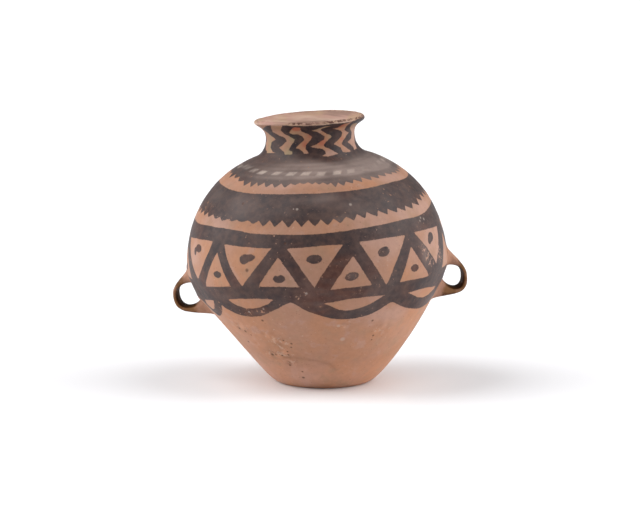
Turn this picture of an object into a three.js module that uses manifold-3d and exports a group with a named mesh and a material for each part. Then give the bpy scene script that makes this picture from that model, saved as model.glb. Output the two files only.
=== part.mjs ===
// A hand-built earthenware jar: a flat base disc, a coiled lower wall, a domed upper wall,
// a short neck collar, a flared mouth rim and two strap handles. Millimetres, +Z up, with
// the origin at the centre of the flat underside. The jar faces -Y, its handles lie on X.
// Every piece is shaped upright first. The finished jar then leans a little, as the real one
// does: one function bends all the pieces together, so they stay seated on each other.

import * as THREE from "three";
import { mergeVertices } from "three/addons/utils/BufferGeometryUtils.js";
import Module from "manifold-3d";

const wasm = await Module();
wasm.setup();

// Outer form. Angles are measured from the upright, and a pull is how far a curve keeps the
// direction that it has at that end.
const BASE_RADIUS = 49.5;
const FOOT_RADIUS = 58;
const FOOT_HEIGHT = 4.8;
const FOOT_PULL_BELOW = 2.7;
const FOOT_PULL_ABOVE = 1.1;
const FLANK_ANGLE = 48.5;
const FLANK_PULL = 29;
const BELLY_RADIUS = 142;
const BELLY_HEIGHT = 129;
const BELLY_PULL_BELOW = 20;
const BELLY_PULL_ABOVE = 45;
const SHOULDER_ANGLE = 70;
const SHOULDER_PULL = 62;
const SHOULDER_RISE = 118;
const NECK_ROOT_RADIUS = 63.5;
const NECK_ROOT_PULL = 10.5;
const NECK_RADIUS = 48.3;
const NECK_RISE = 22.3;
const NECK_PULL_BELOW = 10;
const NECK_PULL_ABOVE = 9;
const LIP_RADIUS = 59.2;
const LIP_RISE = 14.3;
const LIP_ANGLE = 48.5;
const LIP_PULL = 6;

// Clay thicknesses.
const BASE_THICKNESS = 9;
const WALL_THICKNESS = 7;
const LIP_THICKNESS = 4.8;

// Joints between the pieces: a slip seam is bevelled, with the upper piece inside the lower.
const SEAM_GAP = 0.3;
const SEAM_BEVEL = 3.5;
const BELLY_SEAM_RISE = 24;
const NECK_SEAM_RISE = 4.5;
const RIM_SEAM_RISE = 6.5;

// Strap handles, set back a little from the jar's widest line. Heights are from that of the
// belly, and the reach is past its radius. The back is the strap's outer side, the hole its
// inner side, and each leaves the wall at its top and comes back to it at its bottom, with a
// bite into the wall's clay. The hole's side turns up again before the wall, so that a web of
// clay rounds the hole there. The right handle is larger and stands higher.
const HANDLE_SETBACK_ANGLE = 9;
const LEFT_HANDLE = {
  reach: 20,
  loop: -30,
  back: { top: 6.5, bottom: -58 },
  hole: { top: -20, bottom: -28.5 },
};
const RIGHT_HANDLE = {
  reach: 21,
  loop: -24.3,
  back: { top: 18, bottom: -51 },
  hole: { top: -15.5, bottom: -21.3 },
};
const BACK_BEND = {
  bite: 5,
  topAngle: 147,
  topPull: 22.5,
  pullAboveLoop: 12,
  pullBelowLoop: 25,
  bottomAngle: -98,
  bottomPull: 37,
};
const HOLE_BEND = {
  bite: 1.5,
  topAngle: 38,
  topPull: 4.5,
  pullAboveLoop: 14.5,
  pullBelowLoop: 23.5,
  bottomAngle: -7,
  bottomPull: 15.5,
};
const STRAP_THICKNESS = 4.8;
const STRAP_WIDTH = 24;
const ROOT_WIDTH = 33;
const STRAP_SQUARENESS = 2.7;
const ROOT_SQUARENESS = 4;

// The lean: the rings tilt from level at the base to the full angle and less at the lip, and
// the upper half also stands a little to one side of the lower half.
const LEAN_ANGLE = 3;
const LIP_LEAN_ANGLE = 2.2;
const LEAN_START_HEIGHT = 12;
const LEAN_FULL_HEIGHT = 98;
const UPPER_SHIFT = 3.1;
const SHIFT_START_HEIGHT = 49;
const SHIFT_END_HEIGHT = 148;

// Fineness of the facets.
const ROUND_SIDES = 56;
const FOOT_STEPS = 4;
const WALL_STEPS = 11;
const NECK_STEPS = 5;
const RIM_STEPS = 4;
const LIP_EDGE_STEPS = 5;
const STRAP_SIDES = 16;
const STRAP_STEPS = 26;

const NECK_ROOT_HEIGHT = BELLY_HEIGHT + SHOULDER_RISE;
const NECK_HEIGHT = NECK_ROOT_HEIGHT + NECK_RISE;
const LIP_HEIGHT = NECK_HEIGHT + LIP_RISE;

const CLAY = { color: 0xb98a70, roughness: 0.82, metalness: 0 };
const PAINTED_CLAY = { color: 0x8a6a5b, roughness: 0.74, metalness: 0 };
const LIP_CLAY = { color: 0xc79c86, roughness: 0.8, metalness: 0 };

// A direction in the (radius, height) plane, tilted outward from the upright.
function direction(angle) {
  const radians = THREE.MathUtils.degToRad(angle);
  return new THREE.Vector2(Math.sin(radians), Math.cos(radians));
}

// A smooth arc between two points that keeps the given direction at each end.
function arc(start, startDirection, startPull, end, endDirection, endPull) {
  return new THREE.CubicBezierCurve(
    start,
    start.clone().addScaledVector(startDirection, startPull),
    end.clone().addScaledVector(endDirection, -endPull),
    end,
  );
}

// The jar's outer face in the (radius, height) plane, from the edge of the base to the lip.
function outerFace() {
  const edge = new THREE.Vector2(BASE_RADIUS, 0);
  const foot = new THREE.Vector2(FOOT_RADIUS, FOOT_HEIGHT);
  const belly = new THREE.Vector2(BELLY_RADIUS, BELLY_HEIGHT);
  const root = new THREE.Vector2(NECK_ROOT_RADIUS, NECK_ROOT_HEIGHT);
  const neck = new THREE.Vector2(NECK_RADIUS, NECK_HEIGHT);
  const lip = new THREE.Vector2(LIP_RADIUS, LIP_HEIGHT);
  const outward = direction(90);
  const upright = direction(0);
  const flank = direction(FLANK_ANGLE);
  const shoulder = direction(-SHOULDER_ANGLE);
  const flare = direction(LIP_ANGLE);
  const face = new THREE.CurvePath();
  face.add(arc(edge, outward, FOOT_PULL_BELOW, foot, flank, FOOT_PULL_ABOVE));
  face.add(arc(foot, flank, FLANK_PULL, belly, upright, BELLY_PULL_BELOW));
  face.add(arc(belly, upright, BELLY_PULL_ABOVE, root, shoulder, SHOULDER_PULL));
  face.add(arc(root, shoulder, NECK_ROOT_PULL, neck, upright, NECK_PULL_BELOW));
  face.add(arc(neck, upright, NECK_PULL_ABOVE, lip, flare, LIP_PULL));
  return face;
}

const face = outerFace();
const FACE_LENGTH = face.getLength();

// A station is a distance along the outer face. This is the face's point there.
function facePoint(station) {
  return face.getPoint(THREE.MathUtils.clamp(station / FACE_LENGTH, 0, 1));
}

function faceNormal(station) {
  const reach = 0.1;
  const from = facePoint(Math.max(station - reach, 0));
  const to = facePoint(Math.min(station + reach, FACE_LENGTH));
  const along = to.sub(from).normalize();
  return new THREE.Vector2(along.y, -along.x);
}

// The point at a depth in the clay under a station.
function claysPoint(station, depth) {
  return facePoint(station).addScaledVector(faceNormal(station), -depth);
}

// The station whose point at the given depth lies at the given height.
function stationAt(height, depth = 0) {
  let low = 0;
  let high = FACE_LENGTH;
  while (high - low > 1e-5) {
    const middle = (low + high) / 2;
    if (claysPoint(middle, depth).y < height) low = middle;
    else high = middle;
  }
  return (low + high) / 2;
}

const NECK_ROOT_STATION = stationAt(NECK_ROOT_HEIGHT);

// The wall keeps one thickness up to the neck, and thins from there to the lip.
function thickness(station) {
  const share = THREE.MathUtils.smoothstep(station, NECK_ROOT_STATION, FACE_LENGTH);
  return THREE.MathUtils.lerp(WALL_THICKNESS, LIP_THICKNESS, share);
}

// A bevelled seam through the wall, as the stations of its two faces outside and inside.
function seam(height) {
  const outside = stationAt(height);
  const inside = outside - SEAM_BEVEL;
  const half = SEAM_GAP / 2;
  return {
    below: { outside: outside - half, inside: inside - half },
    above: { outside: outside + half, inside: inside + half },
  };
}

// Evenly spaced stations from one end of a stretch of wall to the other.
function stations(from, to, steps) {
  return Array.from({ length: steps + 1 }, (_, i) => THREE.MathUtils.lerp(from, to, i / steps));
}

// The closed outline of a stretch of wall: up the outside, then down the inside.
function wallOutline(bottom, top, steps, edge = []) {
  const outside = stations(bottom.outside, top.outside, steps);
  const inside = stations(top.inside, bottom.inside, steps);
  const points = outside.map((station) => claysPoint(station, 0));
  points.push(...edge);
  points.push(...inside.map((station) => claysPoint(station, thickness(station))));
  points.push(points[0].clone());
  return points;
}

// The rounded edge of the lip: a half circle from its underside over to its inner face.
function lipEdge() {
  const outer = claysPoint(FACE_LENGTH, 0);
  const centre = claysPoint(FACE_LENGTH, LIP_THICKNESS / 2);
  const points = [];
  for (let i = 1; i < LIP_EDGE_STEPS; i++) {
    const angle = (Math.PI * i) / LIP_EDGE_STEPS;
    points.push(outer.clone().rotateAround(centre, angle));
  }
  return points;
}

// A lathe turns its outline about Y, so the turned piece is stood up on Z.
function turned(points) {
  return new THREE.LatheGeometry(points, ROUND_SIDES).rotateX(Math.PI / 2);
}

function baseDisc() {
  const points = [new THREE.Vector2(0, 0)];
  const top = stationAt(BASE_THICKNESS);
  for (let i = 0; i <= FOOT_STEPS; i++) points.push(facePoint((top * i) / FOOT_STEPS));
  points.push(new THREE.Vector2(0, BASE_THICKNESS));
  return turned(points);
}

const bellySeam = seam(BELLY_HEIGHT + BELLY_SEAM_RISE);
const neckSeam = seam(NECK_ROOT_HEIGHT + NECK_SEAM_RISE);
const rimSeam = seam(NECK_HEIGHT + RIM_SEAM_RISE);

// The lower wall stands on the base disc, so its foot is level.
const WALL_FOOT_HEIGHT = BASE_THICKNESS + SEAM_GAP;
const wallFoot = {
  outside: stationAt(WALL_FOOT_HEIGHT),
  inside: stationAt(WALL_FOOT_HEIGHT, WALL_THICKNESS),
};

function lowerWall() {
  return turned(wallOutline(wallFoot, bellySeam.below, WALL_STEPS));
}

function upperWall() {
  return turned(wallOutline(bellySeam.above, neckSeam.below, WALL_STEPS));
}

function neckCollar() {
  return turned(wallOutline(neckSeam.above, rimSeam.below, NECK_STEPS));
}

function mouthRim() {
  const tip = { outside: FACE_LENGTH, inside: FACE_LENGTH };
  return turned(wallOutline(rimSeam.above, tip, RIM_STEPS, lipEdge()));
}

function solidOf(geometry) {
  const bare = geometry.clone();
  bare.deleteAttribute("normal");
  bare.deleteAttribute("uv");
  const merged = mergeVertices(bare, 1e-4);
  return new wasm.Manifold(
    new wasm.Mesh({
      numProp: 3,
      vertProperties: merged.attributes.position.array,
      triVerts: merged.index.array,
    }),
  );
}

function geometryOf(solid) {
  const mesh = solid.getMesh();
  const geometry = new THREE.BufferGeometry();
  geometry.setAttribute("position", new THREE.BufferAttribute(mesh.vertProperties, 3));
  geometry.setIndex(new THREE.BufferAttribute(mesh.triVerts, 1));
  return geometry;
}

// The solid that a handle is seated on: the jar's outer form, larger by the seam gap. It has
// the walls' own rings, so that its facets lie along theirs.
function seatSolid() {
  const rings = [
    ...stations(wallFoot.outside, bellySeam.below.outside, WALL_STEPS),
    ...stations(bellySeam.above.outside, neckSeam.below.outside, WALL_STEPS),
  ];
  const points = rings.map((station) => claysPoint(station, -SEAM_GAP));
  points.unshift(new THREE.Vector2(0, points[0].y));
  points.push(new THREE.Vector2(0, points.at(-1).y));
  return solidOf(turned(points));
}

// One side of a strap in the (radius, height) plane, as two arcs: from the wall out to the
// furthest point of the loop, and from there back under to the wall.
function strapSide(radius, loop, ends, bend) {
  const top = claysPoint(stationAt(BELLY_HEIGHT + ends.top), bend.bite);
  const bottom = claysPoint(stationAt(BELLY_HEIGHT + ends.bottom), bend.bite);
  const furthest = new THREE.Vector2(radius, BELLY_HEIGHT + loop);
  const down = direction(180);
  const away = direction(bend.topAngle);
  const back = direction(bend.bottomAngle);
  return [
    arc(top, away, bend.topPull, furthest, down, bend.pullAboveLoop),
    arc(furthest, down, bend.pullBelowLoop, bottom, back, bend.bottomPull),
  ];
}

// The point of a strap's side at a share of the way along, with the furthest point at a half.
function sidePoint(side, share) {
  return share < 0.5 ? side[0].getPointAt(2 * share) : side[1].getPointAt(2 * share - 1);
}

// Squares a circle's coordinate, which gives a strap flat faces and soft edges.
function squared(value, squareness) {
  return Math.sign(value) * Math.abs(value) ** (2 / squareness);
}

// A strap that is thin in the loop, grows wide and thick at its roots, and seats on the wall.
function strapHandle(azimuth, size, seat) {
  const reach = BELLY_RADIUS + size.reach;
  const back = strapSide(reach, size.loop, size.back, BACK_BEND);
  const hole = strapSide(reach - STRAP_THICKNESS, size.loop, size.hole, HOLE_BEND);
  const strap = new THREE.CylinderGeometry(1, 1, 1, STRAP_SIDES, STRAP_STEPS);
  const place = strap.attributes.position;
  for (let i = 0; i < place.count; i++) {
    const share = THREE.MathUtils.clamp(0.5 - place.getY(i), 0, 1);
    const splay = Math.abs(2 * share - 1) ** 3;
    const width = THREE.MathUtils.lerp(STRAP_WIDTH, ROOT_WIDTH, splay);
    const squareness = THREE.MathUtils.lerp(STRAP_SQUARENESS, ROOT_SQUARENESS, splay);
    const outward = (squared(place.getZ(i), squareness) + 1) / 2;
    const point = sidePoint(hole, share).lerp(sidePoint(back, share), outward);
    place.setXYZ(i, point.x, (squared(place.getX(i), squareness) * width) / 2, point.y);
  }
  strap.rotateZ(THREE.MathUtils.degToRad(azimuth));
  return geometryOf(solidOf(strap).subtract(seat));
}

// The tilt of the level ring at a height, in degrees.
function tiltAt(height) {
  const full = LEAN_ANGLE * THREE.MathUtils.smoothstep(height, LEAN_START_HEIGHT, LEAN_FULL_HEIGHT);
  const less = THREE.MathUtils.smoothstep(height, NECK_HEIGHT, LIP_HEIGHT);
  return full - (LEAN_ANGLE - LIP_LEAN_ANGLE) * less;
}

// How far the ring at a height has moved aside: the lean summed up from the base, and the shift.
function drift(height) {
  const span = LEAN_FULL_HEIGHT - LEAN_START_HEIGHT;
  const part = THREE.MathUtils.clamp((height - LEAN_START_HEIGHT) / span, 0, 1);
  const beyond = Math.max(height - LEAN_FULL_HEIGHT, 0);
  const leaning = span * (part ** 3 - part ** 4 / 2) + beyond;
  const shift = THREE.MathUtils.smoothstep(height, SHIFT_START_HEIGHT, SHIFT_END_HEIGHT);
  return THREE.MathUtils.degToRad(LEAN_ANGLE) * leaning + UPPER_SHIFT * shift;
}

// Bends an upright piece into the leaning jar: each level ring tilts and moves to -X.
function lean(geometry) {
  const place = geometry.attributes.position;
  for (let i = 0; i < place.count; i++) {
    const x = place.getX(i);
    const height = place.getZ(i);
    const tilt = THREE.MathUtils.degToRad(tiltAt(height));
    place.setX(i, x * Math.cos(tilt) - drift(height));
    place.setZ(i, height + x * Math.sin(tilt));
  }
  geometry.computeVertexNormals();
  return geometry;
}

function piece(name, geometry, look) {
  const mesh = new THREE.Mesh(lean(geometry), new THREE.MeshStandardMaterial(look));
  mesh.name = name;
  return mesh;
}

const seat = seatSolid();
const leftHandle = strapHandle(180 - HANDLE_SETBACK_ANGLE, LEFT_HANDLE, seat);
const rightHandle = strapHandle(HANDLE_SETBACK_ANGLE, RIGHT_HANDLE, seat);

const jar = new THREE.Group();
jar.add(
  piece("base_disc", baseDisc(), CLAY),
  piece("lower_body", lowerWall(), CLAY),
  piece("upper_body", upperWall(), PAINTED_CLAY),
  piece("neck_collar", neckCollar(), PAINTED_CLAY),
  piece("mouth_rim", mouthRim(), LIP_CLAY),
  piece("left_handle", leftHandle, CLAY),
  piece("right_handle", rightHandle, CLAY),
);

export default jar;
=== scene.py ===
import math

import bpy
import numpy as np
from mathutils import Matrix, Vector


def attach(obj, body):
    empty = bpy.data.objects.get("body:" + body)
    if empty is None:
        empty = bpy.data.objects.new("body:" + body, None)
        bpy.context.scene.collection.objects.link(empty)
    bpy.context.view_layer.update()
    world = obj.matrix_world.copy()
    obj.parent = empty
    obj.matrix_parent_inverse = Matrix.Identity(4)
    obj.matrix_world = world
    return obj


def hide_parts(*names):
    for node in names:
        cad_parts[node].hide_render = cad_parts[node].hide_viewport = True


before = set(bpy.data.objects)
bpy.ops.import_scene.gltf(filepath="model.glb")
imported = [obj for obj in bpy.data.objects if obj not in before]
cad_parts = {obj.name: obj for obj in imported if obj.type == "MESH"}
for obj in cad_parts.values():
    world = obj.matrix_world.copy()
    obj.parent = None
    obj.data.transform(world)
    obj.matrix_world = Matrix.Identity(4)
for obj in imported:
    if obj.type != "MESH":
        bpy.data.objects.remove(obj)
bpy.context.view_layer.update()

# The painted jar's visible skin. Lengths are millimetres until a mesh is made. A place on the
# wall is an azimuth in degrees from the front, positive to the viewer's right, and a way up:
# the distance along the outer face from the edge of the base.
MM = 0.001

# Outer form, as in the part: angles from the upright, and pulls along the curve's direction.
BASE_RADIUS = 49.5
FOOT_RADIUS = 58
FOOT_HEIGHT = 4.8
FOOT_PULLS = (2.7, 1.1)
FLANK_ANGLE = 48.5
BELLY_RADIUS = 142
BELLY_HEIGHT = 129
FLANK_PULLS = (29, 20)
SHOULDER_ANGLE = 70
SHOULDER_RISE = 118
SHOULDER_PULLS = (45, 62)
NECK_ROOT_RADIUS = 63.5
NECK_RADIUS = 48.3
NECK_RISE = 22.3
NECK_PULLS = (10.5, 10)
LIP_RADIUS = 59.2
LIP_RISE = 14.3
LIP_ANGLE = 48.5
LIP_PULLS = (9, 6)
BASE_THICKNESS = 9
WALL_THICKNESS = 7
LIP_THICKNESS = 4.8
SEAM_BEVEL = 3.5
BELLY_SEAM_RISE = 24
NECK_SEAM_RISE = 4.5
RIM_SEAM_RISE = 6.5

# The strap handles, as in the part.
HANDLE_SETBACK_ANGLE = 9
LEFT_HANDLE = {"reach": 20, "loop": -30, "back": (6.5, -58), "hole": (-20, -28.5)}
RIGHT_HANDLE = {"reach": 21, "loop": -24.3, "back": (18, -51), "hole": (-15.5, -21.3)}
BACK_BEND = {"bite": 5, "angles": (147, -98), "above": (22.5, 12), "below": (25, 37)}
HOLE_BEND = {"bite": 1.5, "angles": (38, -7), "above": (4.5, 14.5), "below": (23.5, 15.5)}
STRAP_THICKNESS = 4.8
STRAP_WIDTH = 24
ROOT_WIDTH = 33
STRAP_SQUARENESS = 2.7
ROOT_SQUARENESS = 4

# The lean, as in the part.
LEAN_ANGLE = 3
LIP_LEAN_ANGLE = 2.2
LEAN_START_HEIGHT = 12
LEAN_FULL_HEIGHT = 98
UPPER_SHIFT = 3.1
SHIFT_START_HEIGHT = 49
SHIFT_END_HEIGHT = 148

# Hand-made unevenness of the mouth: (azimuth, rise) places round a level ring.
RIM_RISE = [
    (-165, 0), (-145, -0.2), (-125, -0.6), (-105, 0), (-90, 0.8), (-78, 1.8), (-65, 3), (-45, 4.2),
    (0, 4.3), (45, 4.3), (65, 3.8), (85, 2.2), (105, 2.2), (130, 1.9), (150, 1.4), (180, 0.3),
]
RISE_START_HEIGHT = 258
RISE_END_HEIGHT = 281

# Fineness of the skin.
ARC_STEPS = 400
COLUMNS = 600
WALL_ROW = 1.6
NECK_ROW = 1.1
RIM_ROW = 0.8
INSIDE_ROW = 4.0
EDGE_ROWS = 12
UNDER_RINGS = 25
OVER_RINGS = 11
CAP_RADIUS = 2
STRAP_SIDES = 72
STRAP_ROWS = 170

NECK_ROOT_HEIGHT = BELLY_HEIGHT + SHOULDER_RISE
NECK_HEIGHT = NECK_ROOT_HEIGHT + NECK_RISE
LIP_HEIGHT = NECK_HEIGHT + LIP_RISE


# Noise for the hand-made unevenness: a fixed lattice of random values, smoothly joined.
LATTICE_SIDE = 32
SEED_STEP = 7.31
LATTICE = np.random.default_rng(11).uniform(-1, 1, (LATTICE_SIDE,) * 3)


def smoothstep(value, low, high):
    share = np.clip((value - low) / (high - low), 0, 1)
    return share * share * (3 - 2 * share)


def noise(points, grain, seed):
    """Smooth noise from -1 to 1 at points. The grain is its size, and each seed is another part of it."""
    scaled = points / np.asarray(grain, float) + SEED_STEP * seed
    cell = np.floor(scaled).astype(int)
    part = scaled - cell
    part = part * part * (3 - 2 * part)
    total = 0
    for corner in np.ndindex(2, 2, 2):
        weight = np.prod(np.where(corner, part, 1 - part), axis=-1)
        x, y, z = np.moveaxis((cell + corner) % LATTICE_SIDE, -1, 0)
        total = total + weight * LATTICE[x, y, z]
    return total


def layered_noise(points, grain, seed):
    """Noise with half as much of half the grain added."""
    return noise(points, grain, seed) + noise(points, np.asarray(grain, float) / 2, seed + 1) / 2


# The outer face in the (radius, height) plane.
def direction(angle):
    return np.array([math.sin(math.radians(angle)), math.cos(math.radians(angle))])


def arc(start, start_angle, end, end_angle, pulls):
    share = np.linspace(0, 1, ARC_STEPS + 1)[:, None]
    rest = 1 - share
    start, end = np.array(start, float), np.array(end, float)
    first = start + direction(start_angle) * pulls[0]
    second = end - direction(end_angle) * pulls[1]
    return rest**3 * start + 3 * rest**2 * share * first + 3 * rest * share**2 * second + share**3 * end


def outer_face():
    edge = (BASE_RADIUS, 0)
    foot = (FOOT_RADIUS, FOOT_HEIGHT)
    belly = (BELLY_RADIUS, BELLY_HEIGHT)
    root = (NECK_ROOT_RADIUS, NECK_ROOT_HEIGHT)
    neck = (NECK_RADIUS, NECK_HEIGHT)
    lip = (LIP_RADIUS, LIP_HEIGHT)
    arcs = [
        arc(edge, 90, foot, FLANK_ANGLE, FOOT_PULLS),
        arc(foot, FLANK_ANGLE, belly, 0, FLANK_PULLS),
        arc(belly, 0, root, -SHOULDER_ANGLE, SHOULDER_PULLS),
        arc(root, -SHOULDER_ANGLE, neck, 0, NECK_PULLS),
        arc(neck, 0, lip, LIP_ANGLE, LIP_PULLS),
    ]
    return np.concatenate([arcs[0], *(points[1:] for points in arcs[1:])])


FACE = outer_face()
FACE_UP = np.concatenate([[0], np.cumsum(np.linalg.norm(np.diff(FACE, axis=0), axis=1))])
FACE_LENGTH = FACE_UP[-1]
FACE_WAY = np.gradient(FACE, FACE_UP, axis=0)


def face_point(up):
    return np.stack([np.interp(up, FACE_UP, FACE[:, 0]), np.interp(up, FACE_UP, FACE[:, 1])], -1)


def face_normal(up):
    radial = np.interp(up, FACE_UP, FACE_WAY[:, 1])
    rising = -np.interp(up, FACE_UP, FACE_WAY[:, 0])
    return np.stack([radial, rising], -1) / np.hypot(radial, rising)[..., None]


def deep_point(up, depth):
    """The (radius, height) of the point at a depth in the clay under a way up the outer face."""
    return face_point(up) - face_normal(up) * np.asarray(depth)[..., None]


def up_at(height, depth=0):
    return float(np.interp(height, deep_point(FACE_UP, depth)[:, 1], FACE_UP))


NECK_ROOT_UP = up_at(NECK_ROOT_HEIGHT)
BASE_TOP_UP = up_at(BASE_THICKNESS)
BELLY_SEAM_UP = up_at(BELLY_HEIGHT + BELLY_SEAM_RISE)
NECK_SEAM_UP = up_at(NECK_ROOT_HEIGHT + NECK_SEAM_RISE)
RIM_SEAM_UP = up_at(NECK_HEIGHT + RIM_SEAM_RISE)


def thickness(up):
    share = smoothstep(up, NECK_ROOT_UP, FACE_LENGTH)
    return WALL_THICKNESS + (LIP_THICKNESS - WALL_THICKNESS) * share


def stand(azimuth, points):
    """Points of the upright jar from azimuths and (radius, height) points."""
    turn = np.radians(azimuth)
    radius, height = points[..., 0], points[..., 1]
    return np.stack(np.broadcast_arrays(radius * np.sin(turn), -radius * np.cos(turn), height), -1)


def wall_place(azimuth, up, depth=0.0):
    """Points of the upright jar at a depth in the clay under places on the outer face."""
    return stand(azimuth, deep_point(up, depth))


def lean(points):
    """The leaning jar's points from the upright one's: each level ring tilts and moves to -X."""
    x, y, height = points[..., 0], points[..., 1], points[..., 2]
    tilt = LEAN_ANGLE * smoothstep(height, LEAN_START_HEIGHT, LEAN_FULL_HEIGHT)
    tilt = tilt - (LEAN_ANGLE - LIP_LEAN_ANGLE) * smoothstep(height, NECK_HEIGHT, LIP_HEIGHT)
    tilt = np.radians(tilt)
    span = LEAN_FULL_HEIGHT - LEAN_START_HEIGHT
    part = np.clip((height - LEAN_START_HEIGHT) / span, 0, 1)
    leaning = span * (part**3 - part**4 / 2) + np.maximum(height - LEAN_FULL_HEIGHT, 0)
    shift = UPPER_SHIFT * smoothstep(height, SHIFT_START_HEIGHT, SHIFT_END_HEIGHT)
    drift = math.radians(LEAN_ANGLE) * leaning + shift
    rise = line_round(np.degrees(np.arctan2(x, -y)), RIM_RISE)
    height = height + rise * smoothstep(height, RISE_START_HEIGHT, RISE_END_HEIGHT)
    return np.stack([x * np.cos(tilt) - drift, y, height + x * np.sin(tilt)], -1)


def turned(azimuth):
    """An azimuth brought between -180 and 180."""
    return (np.asarray(azimuth, float) + 180) % 360 - 180


def across(azimuth, middle, up):
    """Millimetres round the wall from a middle azimuth."""
    return np.radians(turned(azimuth - middle)) * face_point(up)[..., 0]


def line_round(azimuth, places):
    """The height of a closed line round the jar, smooth through its (azimuth, height) places."""
    places = np.array(sorted(places), float)
    places = np.concatenate([places - (360, 0), places, places + (360, 0)])
    slopes = np.gradient(places[:, 1], places[:, 0])
    azimuth = turned(azimuth)
    index = np.searchsorted(places[:, 0], azimuth, side="right") - 1
    span = places[index + 1, 0] - places[index, 0]
    t = (azimuth - places[index, 0]) / span
    start = (2 * t**3 - 3 * t**2 + 1) * places[index, 1] + (t**3 - 2 * t**2 + t) * span * slopes[index]
    return start + (3 * t**2 - 2 * t**3) * places[index + 1, 1] + (t**3 - t**2) * span * slopes[index + 1]


# The furthest that the distances below are followed from an edge, and how near they are exact.
FAR = 30.0
NEAR = 12


def inside_outline(azimuth, up, corners):
    """Millimetres inside a closed outline of (azimuth, up) corners, negative outside it."""
    corners = np.array(corners, float)
    middle, level = corners.mean(0)
    radius = float(face_point(level)[0])
    reach = np.abs(corners[:, 0] - middle).max() + math.degrees(NEAR / radius)
    near = np.abs(turned(azimuth - middle)) < reach
    near &= (up > corners[:, 1].min() - NEAR) & (up < corners[:, 1].max() + NEAR)

    # Measured as complex numbers, millimetres round the wall and up it, from each side's start.
    start = np.radians(corners[:, 0] - middle) * radius + 1j * corners[:, 1]
    side = np.roll(start, -1) - start
    place = (np.radians(turned(azimuth[near] - middle)) * radius + 1j * up[near])[:, None]
    share = (place - start) / side
    distance = np.abs(place - start - np.clip(share.real, 0, 1) * side).min(1)
    crossed = (start.imag > place.imag) != ((start + side).imag > place.imag)
    crossed &= (share.imag > 0) == (side.imag > 0)
    found = np.full(np.shape(up), -FAR)
    found[near] = np.where(crossed.sum(1) % 2 == 1, distance, -distance)
    return found


def inside_any(azimuth, up, outlines):
    """Millimetres inside the nearest of some outlines."""
    found = np.full(np.shape(up), -FAR)
    for outline in outlines:
        found = np.maximum(found, inside_outline(azimuth, up, outline))
    return found


def bowed(corners, bows, steps=8):
    """The outline of clockwise corners whose sides bow outwards by so many millimetres."""
    scale = math.radians(1) * float(face_point(np.mean([up for _, up in corners]))[0])
    outline = []
    for i, bow in enumerate(bows):
        start, end = np.array(corners[i], float), np.array(corners[(i + 1) % len(corners)], float)
        side = (end - start) * (scale, 1)
        outward = np.array([-side[1], side[0]]) / np.hypot(*side) / (scale, 1)
        for t in np.arange(steps) / steps:
            outline.append(start + (end - start) * t + outward * bow * 4 * t * (1 - t))
    return outline


def blob(azimuth, up, middle, level, half_width, half_height, turn):
    """Millimetres inside an oval, turned anticlockwise by so many degrees."""
    place = (across(azimuth, middle, up) + 1j * (up - level)) * np.exp(-1j * math.radians(turn))
    reach = np.hypot(place.real / half_width, place.imag / half_height)
    return (1 - reach) * min(half_width, half_height)


def soft(azimuth, up, spots):
    """Soft ovals added up: each has (azimuth, up, half width, half height, amount)."""
    total = np.zeros(np.shape(up))
    for middle, level, width, height, amount in spots:
        reach = (across(azimuth, middle, up) / width) ** 2 + ((up - level) / height) ** 2
        total += amount * np.exp(-reach)
    return total


def tooth_edge(azimuth, tips, tip_line, notch_line):
    """The zigzag lower edge of a band, down at each tip and up at the notches between them."""
    tips = np.sort(turned(tips))
    tips = np.concatenate([tips - 360, tips, tips + 360])
    notches = tips[:-1] + (tips[1:] - tips[:-1]) * line_round(tips[:-1], TOOTH_LEAN)
    azimuth = turned(azimuth)
    index = np.searchsorted(notches, azimuth)
    tip, before, beyond = tips[index], notches[index - 1], notches[index]
    share = np.where(azimuth < tip, (tip - azimuth) / (tip - before), (azimuth - tip) / (beyond - tip))
    low, high = line_round(azimuth, tip_line), line_round(azimuth, notch_line)
    return low + (high - low) * np.clip(share, 0, 1) ** TOOTH_CURVE


# Painted ornament. Lines and corners are (azimuth, up) places read off the photographed side, and
# loops carry the pattern on round the back.
JITTER = np.random.default_rng(5)


def uneven(low, high):
    return round(float(JITTER.uniform(low, high)), 2)


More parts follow.
